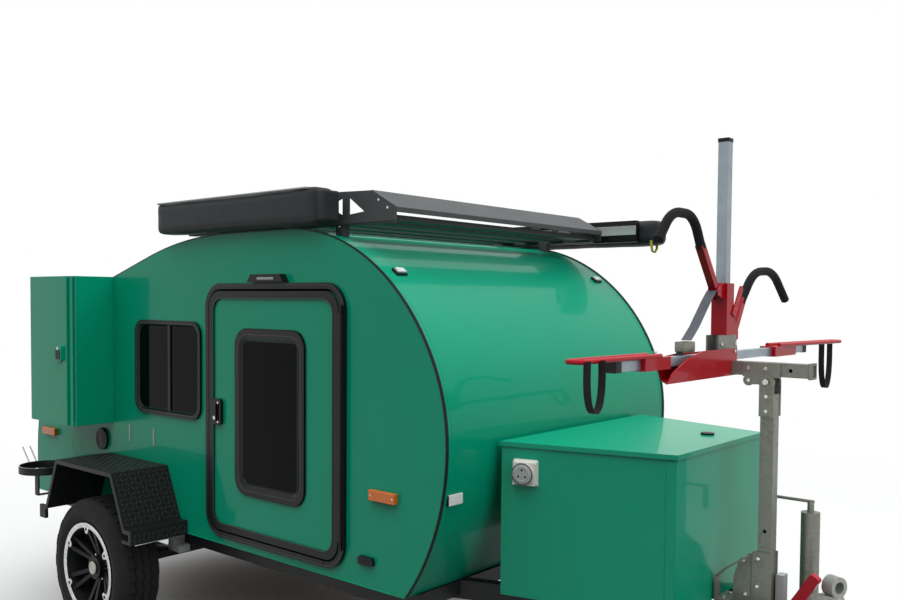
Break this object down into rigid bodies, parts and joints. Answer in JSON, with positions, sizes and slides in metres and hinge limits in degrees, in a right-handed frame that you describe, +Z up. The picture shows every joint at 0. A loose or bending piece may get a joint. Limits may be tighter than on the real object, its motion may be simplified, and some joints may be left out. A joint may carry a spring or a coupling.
{
  "type": "teardrop trailer",
  "caption": "Small camping trailer with a rounded teardrop cabin, side doors, galley hatch, nose toolbox, roof rack, rolled awnings and a folding bicycle carrier.",
  "frame": {"origin": "middle of the overall box in X and Y, at the ground", "axes": "+X forward to the coupling, +Y to the trailer's left, +Z up"},
  "size_m": [4.36, 2.256, 2.264],
  "materials": {
    "green_wall": "gloss",
    "cabin_ply": "satin",
    "black_rubber": "matte",
    "black_frame": "satin",
    "tinted_glass": "gloss",
    "black_steel": "satin",
    "tread_plate": "satin",
    "tyre_rubber": "matte",
    "black_alloy": "satin",
    "white_plastic": "gloss",
    "galvanised": "satin",
    "red_enamel": "gloss",
    "plain_aluminium": "satin",
    "black_canvas": "matte",
    "black_plastic": "matte",
    "amber_lens": "gloss"
  },
  "bodies": {
    "trailer": {"side_walls": "green_wall", "outer_skins": "green_wall", "cabin_interior": "cabin_ply", "edge_trims": "black_rubber", "door_and_window_frames": "black_frame", "side_window_glass": "tinted_glass", "chassis_frame": "black_steel", "axle_and_springs": "black_steel", "mudguards": "tread_plate", "flank_boxes": "green_wall", "toolbox_body": "green_wall", "power_inlet": "white_plastic", "rack_post": "galvanised", "jack_tube": "galvanised", "coupling_head": "galvanised", "brake_lever": "red_enamel", "awning_bag_right": "black_canvas", "awning_left": "black_canvas", "roof_rack": "black_steel", "wind_deflector": "black_steel", "wall_fittings": "black_plastic", "lamps": "amber_lens", "gas_bottle_ring": "black_steel"},
    "wheel_right": {"tyre_right": "tyre_rubber", "wheel_rim_right": "black_alloy"},
    "wheel_left": {"tyre_left": "tyre_rubber", "wheel_rim_left": "black_alloy"},
    "door_right": {"door_leaf_right": "green_wall", "door_trim_right": "black_frame", "door_glass_right": "tinted_glass"},
    "door_left": {"door_leaf_left": "green_wall", "door_trim_left": "black_frame", "door_glass_left": "tinted_glass"},
    "hatch": {"rear_hatch": "green_wall"},
    "flank_lid_right": {"flank_box_door_right": "green_wall"},
    "flank_lid_left": {"flank_box_door_left": "green_wall"},
    "lid": {"toolbox_lid": "green_wall"},
    "carrier": {"carrier_hitch_tube": "galvanised", "carrier_frame": "red_enamel", "carrier_bars": "plain_aluminium"},
    "hook_near_arm": {"hook_near": "red_enamel"},
    "hook_far_arm": {"hook_far": "red_enamel"},
    "leg": {"jack_leg": "galvanised"},
    "fork": {"jockey_fork": "galvanised"},
    "small_wheel": {"jockey_wheel": "black_rubber"}
  },
  "joints": [
    {"name": "wheel_right_spin", "type": "hinge", "parent": "trailer", "child": "wheel_right", "pos_m": [-1.05, -1.02, 0.338], "axis": [0, 1, 0], "continuous": true},
    {"name": "wheel_left_spin", "type": "hinge", "parent": "trailer", "child": "wheel_left", "pos_m": [-1.05, 1.02, 0.338], "axis": [0, 1, 0], "continuous": true},
    {"name": "door_right_hinge", "type": "hinge", "parent": "trailer", "child": "door_right", "pos_m": [0.463, -0.855, 1.1445], "axis": [0, 0, 1], "range_deg": [0, 120]},
    {"name": "door_left_hinge", "type": "hinge", "parent": "trailer", "child": "door_left", "pos_m": [0.463, 0.855, 1.1445], "axis": [0, 0, -1], "range_deg": [0, 120]},
    {"name": "hatch_hinge", "type": "hinge", "parent": "trailer", "child": "hatch", "pos_m": [-1.19, 0, 1.7975], "axis": [0, 1, 0], "range_deg": [0, 75]},
    {"name": "flank_lid_right_hinge", "type": "hinge", "parent": "trailer", "child": "flank_lid_right", "pos_m": [-1.748, -1.046, 1.38], "axis": [0, 0, -1], "range_deg": [0, 110]},
    {"name": "flank_lid_left_hinge", "type": "hinge", "parent": "trailer", "child": "flank_lid_left", "pos_m": [-1.748, 1.046, 1.38], "axis": [0, 0, 1], "range_deg": [0, 110]},
    {"name": "lid_hinge", "type": "hinge", "parent": "trailer", "child": "lid", "pos_m": [1.01, 0, 1.11], "axis": [0, -1, 0], "range_deg": [0, 75]},
    {"name": "carrier_tilt", "type": "hinge", "parent": "trailer", "child": "carrier", "pos_m": [1.84, 0, 1.365], "axis": [0, 1, 0], "range_deg": [0, 60]},
    {"name": "hook_near_swing", "type": "hinge", "parent": "carrier", "child": "hook_near_arm", "pos_m": [1.652, -0.07, 1.692], "axis": [-1, 0, 0], "range_deg": [-30, 15]},
    {"name": "hook_far_swing", "type": "hinge", "parent": "carrier", "child": "hook_far_arm", "pos_m": [1.652, 0.084, 1.524], "axis": [1, 0, 0], "range_deg": [-15, 30]},
    {"name": "jack_slide", "type": "slide", "parent": "trailer", "child": "leg", "axis": [0, 0, 1], "range_m": [-0.1, 0.15]},
    {"name": "jockey_swivel", "type": "hinge", "parent": "leg", "child": "fork", "pos_m": [1.945, 0.15, 0.22], "axis": [0, 0, 1], "continuous": true},
    {"name": "jockey_spin", "type": "hinge", "parent": "fork", "child": "small_wheel", "pos_m": [1.899, 0.15, 0.098], "axis": [0, 1, 0], "continuous": true}
  ]
}
